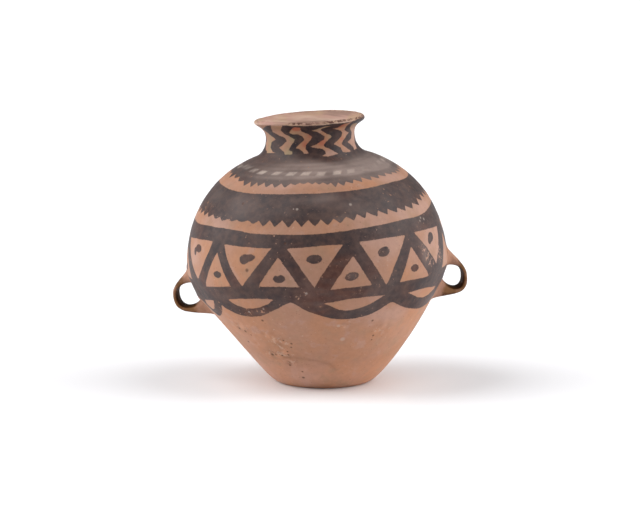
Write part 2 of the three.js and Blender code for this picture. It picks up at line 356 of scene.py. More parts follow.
# The neck is dark, with jagged gaps of clay left free between its zigzag strokes.
NECK_GAPS = [
    [(-76, 350), (-70, 348.5), (-61, 345.5), (-49.5, 342), (-60, 339), (-61.5, 334), (-54, 330),
     (-47, 329.5), (-66, 327.5), (-71, 331), (-74, 338), (-80, 344)],
    [(-44, 362), (-28, 362), (-33, 356), (-37, 351), (-33.5, 347.5), (-25.5, 344.5), (-19.5, 342.5),
     (-23, 339), (-26.5, 336), (-28.5, 333), (-23, 332), (-22.5, 328.5), (-32.5, 328), (-35.5, 331.5),
     (-43.5, 335), (-38, 337.5), (-31, 341), (-34.5, 343.5), (-45.5, 346.5), (-53, 349)],
    [(-17, 359), (-9.5, 358), (-10.5, 354.5), (-10, 350.5), (-5.5, 348), (1.5, 345.5), (3, 344),
     (1, 342), (-2, 340), (-5.5, 337.5), (-6, 334), (-4, 332), (-2.5, 329.5), (-8, 329.5),
     (-10.5, 332.5), (-14.5, 334.5), (-20, 335), (-15, 338), (-10.5, 340), (-7, 342.5), (-9.5, 345),
     (-15, 347), (-23.5, 347), (-27, 348.5), (-22.5, 352.5)],
    [(27, 359), (19, 356), (14, 353.5), (13.5, 351), (17, 348.5), (21.5, 346), (27, 344.5), (29.5, 343),
     (24, 340.5), (20, 338.5), (17, 336.5), (18.5, 335), (24.5, 333), (29, 330), (34.5, 326),
     (29.5, 325), (20.5, 324), (12.5, 325.5), (18, 328), (18, 331), (15, 333), (6.5, 334.5), (-0.5, 336),
     (8, 338), (13.5, 340), (18, 341.5), (19, 343.5), (15, 346), (8.5, 349), (0, 351), (8, 353),
     (17.5, 358.5)],
    [(40, 359), (49, 361), (49, 349.5), (49, 347.5), (54, 345.5), (60.5, 344), (54.5, 342), (50, 339.5),
     (45.5, 337.5), (43, 335.5), (45, 334), (50, 330.5), (53.5, 327.5), (54.5, 325.5), (45, 326),
     (41.5, 327), (41, 330), (40.5, 332.5), (36, 334), (30, 336.5), (34, 338), (41, 340.5), (44.5, 342),
     (46, 345), (42, 347.5), (35, 349.5), (28.5, 351.5), (35, 352)],
    [(58, 356), (72, 355), (86, 346.5), (84.5, 341), (78, 336), (74.5, 331), (71.5, 326.5), (62, 326),
     (64.5, 329), (60.5, 333), (54, 336), (65.5, 338.5), (68, 343), (60, 348)],
]
BACK_GAP = [
    (-17, 360), (-9.5, 360), (-10, 350.5), (-5.5, 348), (1.5, 345.5), (3, 344), (-2, 340), (-5.5, 337.5),
    (-6, 334), (-3, 329), (-8.5, 329), (-14.5, 334.5), (-20, 335), (-10.5, 340), (-7, 342.5), (-9.5, 345),
    (-15, 347), (-26, 348.5),
]
BACK_GAP_PITCH = 25.5
for i in range(8):
    aside, lift = 116 + BACK_GAP_PITCH * i + uneven(-1.5, 1.5), uneven(-0.8, 0.8)
    NECK_GAPS.append([(azimuth + aside, up + lift) for azimuth, up in BACK_GAP])
NECK_RING = [
    (-62, 325.5), (-37, 326.5), (-17, 328), (6, 328), (18, 323.5), (39, 324), (60, 325.5), (120, 326),
    (180, 327), (-120, 326),
]
# How far the neck's pigment reaches past the face's end, over the rounded edge of the lip.
LIP_LINE = [
    (-90, -8), (-70, -7), (-60, -4), (-50, 0), (-40, 0.8), (-20, 1), (0, 1), (20, 1.2), (40, 1),
    (52, 1.6), (62, 2.4), (75, 3.6), (95, 4), (110, 3), (130, 2), (180, 1.5), (-130, 0),
]

# The shoulder: dashes in the ring of haze, and a row of teeth along its lower edge.
DASHES = [
    (-74, 301), (-66.4, 300.4), (-54, 298.6), (-43, 297.2), (-28.5, 297), (-16, 296.5), (-4.4, 296.2),
    (7.2, 294.3), (20, 293.9), (31.4, 293.4), (45, 293.6), (57, 294.6),
]
DASH_PITCH = 12.2
BACK_DASH_UP = 297
while DASHES[-1][0] + DASH_PITCH < 360 + DASHES[0][0] - DASH_PITCH / 2:
    DASHES.append((DASHES[-1][0] + DASH_PITCH, BACK_DASH_UP))
DASH_HALF_WIDTH = 4.2
DASH_HALF_HEIGHT = 2.9
DASH_SLANT = 0.55
UPPER_TIPS = [
    -85, -75, -66.2, -58.2, -49.1, -42.6, -37.1, -30.7, -24.5, -17.4, -11, -5.5, 0, 4.8, 10, 14.6, 20.2,
    26.8, 33.6, 41.5, 48.3, 55.5, 63.9, 71,
]
UPPER_TIP_LINE = [
    (-85, 284), (-75, 279), (-66, 281), (-58, 278.5), (-49, 273.8), (-42.6, 273), (-37, 275.3),
    (-30.7, 274.3), (-24.5, 274.2), (-17.4, 274.4), (-11, 278), (0, 278.6), (5, 277.6), (10, 275.6),
    (14.6, 271.3), (20, 272), (25.6, 273.6), (33.4, 274), (42, 274.2), (55, 275), (64.4, 275.4),
    (70.6, 274), (100, 276), (180, 275), (-120, 276),
]
UPPER_NOTCH_LINE = [
    (-80, 287), (-66, 286), (-54, 281.7), (-41, 281), (-34, 281), (-27, 280.6), (-14, 281), (0, 281.6),
    (10, 279.4), (19, 278), (25, 279.2), (38, 281.2), (47, 279.6), (58, 280), (69, 278), (80, 280),
    (180, 281), (-115, 284),
]
UPPER_PITCH = 6.4
UPPER_BACK_END = 360 + UPPER_TIPS[0] - UPPER_PITCH / 2
UPPER_TIPS += list(np.arange(UPPER_TIPS[-1] + UPPER_PITCH, UPPER_BACK_END, UPPER_PITCH))
TOOTH_CURVE = 1.15
# Where the notch beside each tooth lies, as a share of the way to the next tip.
TOOTH_LEAN = [
    (-60, 0.55), (0, 0.5), (14, 0.46), (26, 0.24), (60, 0.24), (100, 0.32), (180, 0.4), (-100, 0.5),
]

# The wide band with its teeth, and the ring above the frieze.
WIDE_TOP = [
    (-80, 268.5), (-72, 268), (-54.5, 266), (-40, 265), (-22, 265), (-7, 265), (8, 264.5), (23, 264.6),
    (39, 265), (55, 266), (67, 264.7), (110, 266), (180, 266), (-120, 267),
]
WIDE_TIP_LINE = [
    (-70, 229.5), (-50, 228.7), (-36, 229.6), (-25, 226.4), (-10, 225.2), (2, 225.2), (12, 226.5),
    (19, 228.6), (33, 229.6), (51, 229.3), (64, 230.4), (72, 234), (110, 231), (180, 229), (-115, 229),
]
WIDE_NOTCH_LINE = [
    (-70, 235), (-54, 232.6), (-40, 231.6), (-29, 232.6), (-17, 233.2), (3, 232.6), (14, 233), (24, 236),
    (45, 235.6), (60, 236), (67, 239.4), (72, 241), (110, 237), (180, 235), (-115, 235),
]
WIDE_TEETH = 56
WIDE_PITCH = 360 / WIDE_TEETH
WIDE_TIPS = [25.7, 32.8, 38.9, 45.3, 51.3, 57.7, 64.8, 71.3]
WIDE_TIPS += [0.4 + WIDE_PITCH * i + uneven(-0.5, 0.5) for i in range(12, WIDE_TEETH + 4)]
RING_TOP = [
    (-84, 220), (-74, 219.5), (-62, 220.5), (-48, 221), (-37.5, 220), (-30, 218), (-21.5, 217.5),
    (-13.5, 217), (-2.5, 216.5), (5, 217), (11, 217.5), (18.5, 218.5), (27, 219), (38, 220), (48, 220.5),
    (58.5, 220), (65.5, 221), (74, 223.5), (84, 225.5), (125, 222), (180, 219), (-125, 220),
]

# The frieze: clay triangles left free in the paint, with their corners clockwise and their bows.
TRIANGLES = [
    ([(-80, 201.5), (-53.8, 205.3), (-64.6, 161)], (0.5, 2.4, 3)),
    ([(-49.4, 194.6), (-40.6, 159.5), (-58.4, 154.6)], (-0.6, -0.1, 1)),
    ([(-45.6, 204.4), (-19.8, 202.6), (-34.3, 160.6)], (-0.6, 0.2, 2)),
    ([(-16.5, 193.4), (-7.7, 160.9), (-26.1, 161.4)], (0.5, -0.8, 0)),
    ([(-12.8, 202.3), (13.1, 203.8), (-1.2, 160)], (0.2, -1.4, -0.8)),
    ([(16.6, 190.6), (24.3, 156.8), (5.4, 156)], (0.1, -0.8, 0.7)),
    ([(20.2, 204.4), (45.4, 204), (31.1, 155.2)], (0.5, -1.1, 0)),
    ([(47.3, 190.2), (58.1, 153.8), (38.2, 155.2)], (-0.5, 0, 0.4)),
    ([(51.4, 204.6), (74.7, 201.6), (64.9, 164.6)], (0.4, 1.4, -0.6)),
]
PERIODS = 11
PERIOD = 360 / PERIODS
BACK_APEXES = [80.5 + PERIOD * i for i in range(7)]
BACK_VALLEYS = [97 + PERIOD * i for i in range(6)]
for apex in BACK_APEXES:
    wide, low, high = uneven(8.6, 9.8), uneven(154, 158), uneven(189, 193.5)
    bows = [uneven(-1, 1) for _ in range(3)]
    TRIANGLES.append(([(apex, high), (apex + wide, low), (apex - wide, low)], bows))
for valley in BACK_VALLEYS:
    wide, low = uneven(12, 13.2), uneven(157, 163)
    bows = [uneven(-1, 1.5) for _ in range(3)]
    TRIANGLES.append(([(valley - wide, 204), (valley + wide, 204), (valley, low)], bows))

# Dots in the triangles: azimuth, up, half width, half height and turn.
DOTS = [
    (-65.3, 194.2, 7.6, 4.4, 0), (-68.8, 190, 3.6, 4.6, 20), (-33, 190, 6.4, 5.2, 20),
    (-30.5, 191.6, 7.4, 3.8, 12), (-48.5, 170.9, 6.4, 3.7, 0), (-16.3, 170, 7.2, 4.7, 0),
    (-0.5, 190, 8.4, 4.9, 0), (15.4, 169, 8.2, 4.4, 8), (31.6, 190.7, 7.6, 5.1, 12),
    (47.8, 167.3, 6.2, 3.8, 0), (63.9, 194.3, 6.2, 5.2, 10), (62, 191, 3, 4, 0),
]
for apex in BACK_APEXES[1:]:
    DOTS.append((apex, uneven(168, 172), uneven(6, 8), uneven(3.8, 4.6), uneven(-10, 10)))
for valley in BACK_VALLEYS:
    DOTS.append((valley, uneven(189, 193), uneven(7, 9), uneven(4.6, 5.4), uneven(-10, 15)))
DOT_NOTCH = (-17, 175.6, 2.6, 2.2, 0)

# The scalloped lower edge of the paint, and the clay lenses left free in it.
SCALLOPS = [
    (-53.4, 132), (-52, 129.5), (-50, 127), (-47, 124), (-41, 121), (-36, 121), (-30, 123), (-24, 129),
    (-19, 135), (-15, 140), (-12.4, 142), (-10.5, 139), (-7, 132), (-2, 125), (3, 119.5), (8, 116.3),
    (14, 115), (20, 116), (27, 120), (31, 124.5), (35, 130), (36.6, 130.6), (39, 128), (45, 121),
    (53, 115), (60, 112), (69, 112), (78, 118), (83.5, 128), (-88, 130), (-82, 127), (-76, 121.5),
    (-70, 114.5), (-65.5, 112), (-62, 115), (-58, 120), (-55, 127),
]
LENSES = [
    [(-74, 126), (-71, 132.5), (-58.5, 137), (-60.5, 131), (-64.5, 123), (-68, 120.5)],
    [(-45.4, 142.8), (-38.6, 144.6), (-32.8, 146.2), (-27.2, 147), (-20.4, 146), (-23.6, 140.4),
     (-28, 135.7), (-33, 132.8), (-37, 132.8), (-41.3, 135.1), (-44.2, 139.2)],
    [(1.5, 140), (6, 140.4), (12.4, 142.5), (20.8, 143), (31.2, 142.1), (26.5, 135.6), (22.2, 131.1),
     (17, 127.8), (12.6, 127), (9, 129.6), (5.5, 135)],
    [(44.8, 139.2), (51.9, 139.8), (59.7, 138.7), (71.4, 134.6), (70, 131.5), (65.8, 127.2),
     (59.3, 126.4), (53.5, 129.8), (48.1, 135.8)],
]
SCALLOP_PITCH = 44.4
BACK_SCALLOPS = [106.2 + SCALLOP_PITCH * i for i in range(4)]
BACK_SCALLOP = [
    (-22.2, 133), (-20, 128), (-14, 119.5), (-7, 115.5), (0, 114.5), (7, 115), (14, 119), (20, 127.5),
]
BACK_LENS = [
    (-15, 140), (-7, 142), (0, 142.5), (7, 142), (15, 140.5), (9.5, 132.5), (3.5, 129), (-3, 128.7),
    (-9, 132),
]

FREE_CLAY = [bowed(corners, bows) for corners, bows in TRIANGLES] + LENSES
for middle in BACK_SCALLOPS:
    FREE_CLAY.append([(middle + offset, up) for offset, up in BACK_LENS])
    SCALLOPS += [(float(turned(middle + offset)), up) for offset, up in BACK_SCALLOP]

# Soft ovals of wear and colour, and of painted light and shade: azimuth, up, half width, half height and
# amount.
RED = [
    (10, 178, 16, 16, 0.9), (2, 160, 18, 14, 0.8), (-4, 146, 16, 10, 0.7), (-2, 130, 16, 9, 0.9),
    (14, 149, 30, 6, 0.6), (24, 172, 10, 14, 0.4), (-31, 128, 22, 8, 0.7), (-60, 165, 8, 12, 0.7),
    (-38, 166, 10, 10, 0.5), (-60, 125, 10, 10, 0.6), (60, 207, 18, 5, 0.6), (55, 180, 9, 14, 0.5),
    (-8, 175, 9, 12, 0.4), (44, 145, 12, 8, 0.3), (-66, 196, 10, 8, 0.6), (48, 167, 8, 6, 0.8),
]
WORN = [
    (54, 187, 8, 8, 0.3), (58, 178, 7, 8, 0.35), (61, 169, 8, 7, 0.25), (60, 209, 16, 4.5, 0.2),
    (66, 214, 10, 6, 0.1), (-27, 128, 12, 4, 0.38), (-36, 128, 5, 4, 0.4), (2, 136, 9, 4, 0.35),
    (-8, 152, 8, 5, 0.3), (70, 178, 7, 16, 0.5), (-51, 230, 22, 5, 0.35), (16, 231, 12, 5, 0.3),
    (-74, 240, 8, 10, 0.3), (70, 132, 12, 10, 0.2),
]
HAZY = [
    (4, 257, 26, 6, 0.25), (16, 246, 18, 6, 0.15), (22, 237, 18, 6, 0.2), (14, 231, 14, 5, 0.25),
    (56, 178, 7, 14, 0.35), (-68, 255, 16, 10, 0.25), (-45, 250, 30, 14, 0.12), (62, 298, 26, 12, 0.3),
    (40, 250, 30, 12, 0.05), (15, 169.5, 8, 5, 0.35), (72, 160, 12, 20, 0.12), (-80, 150, 12, 20, 0.05),
    (70, 120, 14, 8, 0.1), (-30, 127, 16, 4, 0.18), (0, 138, 12, 4, 0.12),
]
DARK = [(-20, 280, 40, 5, 0.4), (20, 255, 60, 8, 0.2)]
# Painted light and shade on the clay: darker in the middle of the front and in two narrow bands, lighter
# on the flanks and low down.
PAINTED_LIGHT_SPOTS = [
    (0, 190, 60, 60, -0.06), (60, 80, 62, 60, 0.34), (-66, 90, 58, 60, 0.3), (0, 80, 50, 50, 0.03),
    (0, 268, 80, 8, -0.12), (-40, 228, 60, 6, -0.12), (72, 190, 30, 50, 0.1), (-72, 190, 30, 50, 0.06),
]
FADED_DASHES = [(53, 295, 24, 12, 1), (-72, 300, 16, 10, 0.6), (-54, 299, 12, 8, 0.25)]
# How thick the shoulder's haze is round the jar: strongest on the right, where it is partly painted
# sheen.
SHOULDER_HAZE_AND_SHEEN = [
    (-80, 0.12), (-62, 0.2), (-45, 0.4), (-28, 0.62), (-10, 0.72), (10, 0.72), (35, 0.8), (60, 0.95),
    (80, 0.7), (120, 0.45), (180, 0.5), (-120, 0.3),
]
TINTS = [
    (-30, 340, 8, 6, -0.7), (-16, 356, 7, 6, 2.8), (1, 346, 6, 4, 1.6), (-7, 338, 6, 5, 1.7),
    (-5, 330, 5, 4, -0.6), (25, 346, 5, 4, 1.1), (15, 339, 8, 5, 1.9), (4, 335, 5, 3, -0.6),
    (25, 328, 9, 4, -1), (38, 356, 8, 6, 2.2), (50, 347, 7, 5, -0.6), (45, 340, 6, 4, 1.6),
    (46, 330, 6, 4, 0.2), (68, 340, 8, 14, -0.8), (32, 194, 26, 22, -1.5), (66, 190, 26, 26, -1.8),
    (62, 229, 40, 7, -1.4), (-62, 225, 30, 8, -1.2), (-70, 192, 20, 20, -1), (-30, 228, 30, 6, 0.8),
    (30, 150, 40, 12, -0.6), (-10, 100, 70, 25, 0.3), (40, 60, 50, 30, 0.1), (10, 268, 60, 6, 0.7),
    (-60, 272, 30, 8, -1.4), (60, 270, 30, 8, -1),
]
OLIVE = [
    (-62, 335, 6, 14, 0.7), (-38, 357, 8, 7, 0.35), (-22, 344, 5, 4, 1), (-27, 330, 8, 5, 1),
    (27, 345, 4, 4, 0.7), (8, 354, 9, 4, 0.5), (20, 357, 8, 4, 0.5), (66, 356, 10, 8, 0.6),
]


# A slanting edge lies nearer than the way up to it, by these shares.
TOOTH_SLANT = 0.72
SCALLOP_SLANT = 0.85

# How far the neck's paint runs on under the shoulder's, and its strokes into the clay between them.
NECK_OVERLAP = 4
STROKE_SPREAD = 0.15

# The ways up over which the haze begins and thickens, and over which the low wall's painted light fades
# out upwards.
HAZE_START = (268, 276)
HAZE_RISE = (282, 290)
HAZE_RING_PITCH = 8.2
FOOT_PAINTED_LIGHT = (14, 62)


def dashes(azimuth, up):
    """Millimetres inside the slanted pale dashes."""
    found = np.full(np.shape(up), -FAR)
    for middle, level in DASHES:
        rise = up - level
        aside = np.abs(across(azimuth, middle, up) - DASH_SLANT * rise)
        found = np.maximum(found, np.minimum(DASH_HALF_WIDTH - aside, DASH_HALF_HEIGHT - np.abs(rise)))
    return found


def dots(azimuth, up):
    """Millimetres inside the dots."""
    found = np.full(np.shape(up), -FAR)
    for dot in DOTS:
        found = np.maximum(found, blob(azimuth, up, *dot))
    return np.minimum(found, -blob(azimuth, up, *DOT_NOTCH))


def paint_depth(azimuth, up, ring, wobble):
    """Millimetres inside the painted bands, negative on free clay. The ring is the neck's foot."""
    neck = np.minimum(FACE_LENGTH + line_round(azimuth, LIP_LINE) - up, up - ring + NECK_OVERLAP)
    neck = np.minimum(neck, STROKE_SPREAD - inside_any(azimuth, up, NECK_GAPS))
    upper_edge = tooth_edge(azimuth, UPPER_TIPS, UPPER_TIP_LINE, UPPER_NOTCH_LINE)
    shoulder = np.minimum(ring - up, (up - upper_edge) * TOOTH_SLANT)
    wide_edge = tooth_edge(azimuth, WIDE_TIPS, WIDE_TIP_LINE, WIDE_NOTCH_LINE)
    wide = np.minimum(line_round(azimuth, WIDE_TOP) - up, (up - wide_edge) * TOOTH_SLANT)
    scalloped = (up - line_round(azimuth, SCALLOPS)) * SCALLOP_SLANT
    frieze = np.minimum(line_round(azimuth, RING_TOP) - up, scalloped)
    frieze = np.minimum(frieze, -inside_any(azimuth, up, FREE_CLAY))
    return np.max([neck, shoulder, wide, frieze, dots(azimuth, up)], axis=0) + wobble


def shoulder_haze_and_sheen(azimuth, up, ring, place):
    """The grey veil on the shoulder in faint level rings, partly painted sheen on the right, and its soft
    patches elsewhere.
    """
    rise = 0.45 + 0.55 * smoothstep(up, *HAZE_RISE)
    haze_and_sheen = line_round(azimuth, SHOULDER_HAZE_AND_SHEEN) * rise * smoothstep(ring - up, 1.5, 17)
    level = up + 1.2 * noise(place, 40, 23)
    streaks = 1 + 0.14 * np.sin(2 * math.pi * level / HAZE_RING_PITCH)
    haze_and_sheen = haze_and_sheen * streaks * smoothstep(up, *HAZE_START) + soft(azimuth, up, HAZY)
    return haze_and_sheen + 0.10 * (layered_noise(place, 22, 24) + 0.3)


def ornament(azimuth, up):
    """The ornament's fields at places on the outer face."""
    place = wall_place(azimuth, up)
    wobble = 0.35 * noise(place, 10, 21) + 0.22 * noise(place, 3.4, 22)
    ring = line_round(azimuth, NECK_RING)
    on_neck = smoothstep(up, ring, ring + 3)
    pale = smoothstep(dashes(azimuth, up) + 0.8 * wobble, -1.6, 1.2)
    pale = pale * (0.75 + 0.25 * noise(place, 14, 25)) * (1 - 0.9 * soft(azimuth, up, FADED_DASHES))
    # Painted light and shade on the scaled patches, lighter on their bumps and darker in their hollows,
    # and painted shade along the scraped line.
    relief_light_and_shade = 0.5 * np.clip(scaled_relief(azimuth, up), -0.7, 0.5)
    relief_light_and_shade = relief_light_and_shade - 0.13 * np.exp(-(scrape(azimuth, up) / 2.4) ** 2)
    return {
        "paint": paint_depth(azimuth, up, ring, wobble),
        "haze_and_sheen": shoulder_haze_and_sheen(azimuth, up, ring, place),
        "pale": pale,
        "red": 0.3 + 0.3 * layered_noise(place, 24, 26) + soft(azimuth, up, RED),
        "worn": 0.1 + 0.1 * layered_noise(place, 30, 27) + soft(azimuth, up, WORN),
        "tint": 0.5 * layered_noise(place, 34, 28) * (1 - on_neck) + soft(azimuth, up, TINTS),
        "olive": soft(azimuth, up, OLIVE),
        "dark": on_neck + soft(azimuth, up, DARK),
        # Painted light and shade, multiplying the clay's colour: lighter low down and on the flanks,
        # darker mid-front, on the relief and along the scrape.
        "painted_light": 1 + 0.44 * (1 - smoothstep(up, *FOOT_PAINTED_LIGHT)) + soft(azimuth, up, PAINTED_LIGHT_SPOTS) + relief_light_and_shade,
        "scaling": soft(azimuth, up, ROUGH_PATCH),
    }


# Hand-made unevenness of the clay. The last value of an oval is an amount in a scaled patch, and
# millimetres outward in a pad between a handle's roots.
ROUGH_PATCH = [
    (-27, 84, 13, 9, 0.9), (-31, 63, 16, 7, 1), (-50, 104, 12, 8, 0.7), (33, 96, 12, 10, 0.5),
    (-24, 50, 9, 7, 0.9), (-35, 96, 20, 10, 0.4), (12, 106, 9, 5, 0.5),
]
HANDLE_PADS = [
    (-96, up_at(BELLY_HEIGHT - 24), 26, 15, 3.2), (-98, up_at(BELLY_HEIGHT - 32), 22, 8, 3.6),
    (96, up_at(BELLY_HEIGHT - 18), 26, 13, 1.2), (98, up_at(BELLY_HEIGHT - 25), 22, 7, 2.2),
]
SCRAPE = [(-36, 60), (-28, 57.6), (-12, 57), (-3, 53), (5, 47), (10, 38)]


def scrape(azimuth, up):
    """Millimetres off the shallow curved line scraped low on the front."""
    found = np.full(np.shape(up), FAR)
    for (start, low), (end, high) in zip(SCRAPE, SCRAPE[1:]):
        place = across(azimuth, start, up) + 1j * (up - low)
        side = across(end, start, up) + 1j * (high - low)
        share = np.clip((place / side).real, 0, 1)
        found = np.minimum(found, np.abs(place - share * side))
    return found


def scaled_relief(azimuth, up):
    """Relief of the patches where the surface has scaled off."""
    place = wall_place(azimuth, up)
    scales = 0.9 * noise(place, 5.5, 31) - 0.5 * np.abs(noise(place, 9, 32))
    return soft(azimuth, up, ROUGH_PATCH) * scales


def outer_relief(azimuth, up):
    """How far the outer face stands out from the true form."""
    place = wall_place(azimuth, up)
    pads = soft(azimuth, up, HANDLE_PADS)
    hand = 0.35 * layered_noise(place, 55, 1)
    dabs = 0.10 * noise(place, 13, 4)
    wiped = 0.07 * noise(place, (40, 40, 4.5), 6)
    grain = 0.035 * layered_noise(place, 3.6, 9)
    marks = scaled_relief(azimuth, up) - 0.5 * np.exp(-(scrape(azimuth, up) / 1.5) ** 2)
    relief = (hand + dabs + wiped + marks + pads) * smoothstep(up, 0, 14)
    return relief + grain * smoothstep(up, 0, 3)


def inner_relief(azimuth, up, depth):
    """Coil marks and fingermarks low inside, and wiping marks in the neck."""
    place = wall_place(azimuth, up, depth)
    coils = 0.45 * np.cos(2 * math.pi * (up + 3 * noise(place, 60, 13)) / 13)
    fingers = 0.4 * layered_noise(place, (26, 26, 9), 15)
    in_neck = smoothstep(up, NECK_ROOT_UP, NECK_ROOT_UP + 20)
    low = (coils + fingers) * smoothstep(up, 14, 30) * (1 - in_neck)
    return low + 0.18 * layered_noise(place, (30, 30, 4), 17) * in_neck


def skin(azimuth, up):
    """Points of the leaning jar's outer face."""
    return lean(wall_place(azimuth, up, -outer_relief(azimuth, up)))


def skin_normals(azimuth, up):
    """Outward normals of the outer face, the same on both sides of a seam."""
    ahead = skin(azimuth + 0.25, up) - skin(azimuth - 0.25, up)
    rise = skin(azimuth, up + 0.5) - skin(azimuth, up - 0.5)
    normal = np.cross(ahead, rise)
    return normal / np.linalg.norm(normal, axis=-1, keepdims=True)


AZIMUTHS = np.arange(COLUMNS) * 360 / COLUMNS


def rings(ups, depth=0.0, inner=False):
    """Rings of points of the upright jar, one for each way up, at a depth in the clay."""
    azimuth, up = np.meshgrid(AZIMUTHS, np.asarray(ups, float))
    depth = np.broadcast_to(np.asarray(depth, float), np.shape(ups))[:, None] + 0 * up
    out = -inner_relief(azimuth, up, depth) if inner else outer_relief(azimuth, up)
    return wall_place(azimuth, up, depth - out)


def even(start, end, step):
    return np.linspace(start, end, max(2, round(abs(end - start) / step) + 1))


def grid_faces(rows, columns, closed):
    """Quads of a grid of rings. A closed grid joins its last ring to its first."""
    row = np.arange(rows if closed else rows - 1)[:, None]
    column = np.arange(columns)[None, :]
    beyond = (column + 1) % columns
    above = (row + 1) % rows
    corners = [(row, column), (row, beyond), (above, beyond), (above, column)]
    return np.stack([r * columns + c for r, c in corners], -1).reshape(-1, 4).tolist()


def capped_faces(rows, columns):
    """Quads of a grid of rings, with a flat face over its first ring and its last."""
    last = (rows - 1) * columns
    caps = [list(range(columns))[::-1], list(range(last, last + columns))]
    return grid_faces(rows, columns, False) + caps


def add_object(name, data):
    made = bpy.data.objects.new(name, data)
    bpy.context.scene.collection.objects.link(made)
    return made


def make_piece(name, points, faces, node, fields, normals=None):
    """An object of smooth faces that stands for a node and rides on the jar's one body."""
    points = lean(points) * MM
    points[:, 2] = np.maximum(points[:, 2], 0)
    mesh = bpy.data.meshes.new(name)
    mesh.from_pydata(points.tolist(), [], faces)
    mesh.polygons.foreach_set("use_smooth", [True] * len(mesh.polygons))
    mesh.update()
    for field, values in fields.items():
        held = mesh.attributes.new(field, "FLOAT", "POINT")
        held.data.foreach_set("value", np.asarray(values, np.float32).ravel())
    if normals is not None:
        own = np.empty(len(points) * 3, np.float32)
        mesh.vertex_normals.foreach_get("vector", own)
        own = own.reshape(-1, 3)
        kept = np.isfinite(normals[:, 0])
        own[kept] = normals[kept]
        mesh.normals_split_custom_set_from_vertices(own.tolist())
    piece = add_object(name, mesh)
    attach(piece, "root")
    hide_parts(node)
    return piece


# What the fields are off the outer face, where that isn't nothing.
BARE = {"paint": -FAR, "painted_light": 1, "inside": 1}


def skin_fields(ups, before, after):
    """The ornament and normals of rings of outer face, with bare rings before and after them."""
    azimuth, up = np.meshgrid(AZIMUTHS, ups)
    shape = (before + len(ups) + after, COLUMNS)
    fields = {}
    for name, values in (ornament(azimuth, up) | {"inside": 0, "chips": 0}).items():
        fields[name] = np.full(shape, float(BARE.get(name, 0)))
        fields[name][before:before + len(ups)] = values
    normals = np.full((*shape, 3), np.nan)
    smooth = np.nonzero((ups > 2) & (ups < FACE_LENGTH - 1.5))[0]
    normals[before + smooth] = skin_normals(azimuth[smooth], up[smooth])
    return fields, normals.reshape(-1, 3)


def lip_fields(fields, first, rows):
    """Carry the ornament over the lip's edge, from its first row, and the bare mouth on down inside."""
    edge = slice(first, first + EDGE_ROWS)
    angle = np.linspace(0, 1, EDGE_ROWS + 2)[1:-1, None]
    over = FACE_LENGTH + angle * math.pi * LIP_THICKNESS / 2
    azimuth, up = np.broadcast_arrays(AZIMUTHS[None, :], over)
    for field, values in ornament(azimuth, up).items():
        fields[field][edge] = values
    chips = line_round(AZIMUTHS, LIP_CHIPS)
    fields["chips"][edge] = chips[None, :] * smoothstep(angle, 0.2, 0.36)
    fields["chips"][edge.stop] = 0.5 * chips
    fields["inside"][edge] = smoothstep(angle, 0.02, 0.12)
    # Deeper in, the inside value rises from 1 towards 2, which paints the mouth lighter: painted light in
    # the deep inside.
    below = np.arange(rows - edge.stop)[:, None] * INSIDE_ROW
    fields["inside"][edge.stop:] += smoothstep(below, 3, 22)


def wall_piece(name, node, bottom, top, row, edge=None):
    """A stretch of wall as a closed shell: rings up the outside, over the edge, and down the inside."""
    outside = even(bottom[0], top[0], row)
    inside = even(top[1], bottom[1], INSIDE_ROW)
    over = [] if edge is None else [edge]
    points = np.concatenate([rings(outside), *over, rings(inside, thickness(inside), inner=True)])
    fields, normals = skin_fields(outside, 0, len(points) - len(outside))
    if edge is not None:
        lip_fields(fields, len(outside), len(points))
    faces = grid_faces(len(points), COLUMNS, True)
    return make_piece(name, points.reshape(-1, 3), faces, node, fields, normals)


# How chipped the lip is: (azimuth, amount) places.
LIP_CHIPS = [
    (-70, 0.25), (-40, 0.1), (-26, 0.25), (-18, 0.9), (0, 1), (16, 0.7), (20, 1.3), (30, 1.1), (40, 0.8),
    (60, 0.9), (80, 1), (120, 0.6), (180, 0.4), (-120, 0.3),
]


def lip_edge():
    """Rings over the rounded and slightly uneven edge of the lip, from its underside to its inside."""
    share = np.linspace(0, 1, EDGE_ROWS + 2)[1:-1, None]
    azimuth = AZIMUTHS[None, :] + 0 * share
    up = np.full(np.shape(azimuth), FACE_LENGTH)
    outer = deep_point(up, -outer_relief(azimuth, up))
    inner = deep_point(up, LIP_THICKNESS + inner_relief(azimuth, up, LIP_THICKNESS + 0 * up))
    middle, half = (outer + inner) / 2, (outer - inner) / 2
    way = np.stack([-half[..., 1], half[..., 0]], -1)
    place = stand(azimuth, middle)
    worn = 1 + 0.10 * noise(place, 14, 33) + 0.08 * noise(place, 4, 34)
    angle = math.pi * share[..., None]
    profile = middle + np.cos(angle) * half + np.sin(angle) * way * worn[..., None]
    return stand(azimuth, profile)


def flat_rings(radii, height):
    return stand(AZIMUTHS, np.stack([radii, 0 * radii + height], -1)[:, None])


def base_piece():
    """The base disc: its round foot and flat underside, and a flat top hidden in the jar."""
    under = np.linspace(CAP_RADIUS, BASE_RADIUS, UNDER_RINGS + 1)[:-1]
    foot = even(0, BASE_TOP_UP, RIM_ROW)
    over = np.linspace(face_point(BASE_TOP_UP)[0], CAP_RADIUS, OVER_RINGS + 1)[1:]
    points = np.concatenate([flat_rings(under, 0), rings(foot), flat_rings(over, BASE_THICKNESS)])
    fields, normals = skin_fields(foot, len(under), len(over))
    faces = capped_faces(len(points), COLUMNS)
    return make_piece("jar_base", points.reshape(-1, 3), faces, "base_disc", fields, normals)


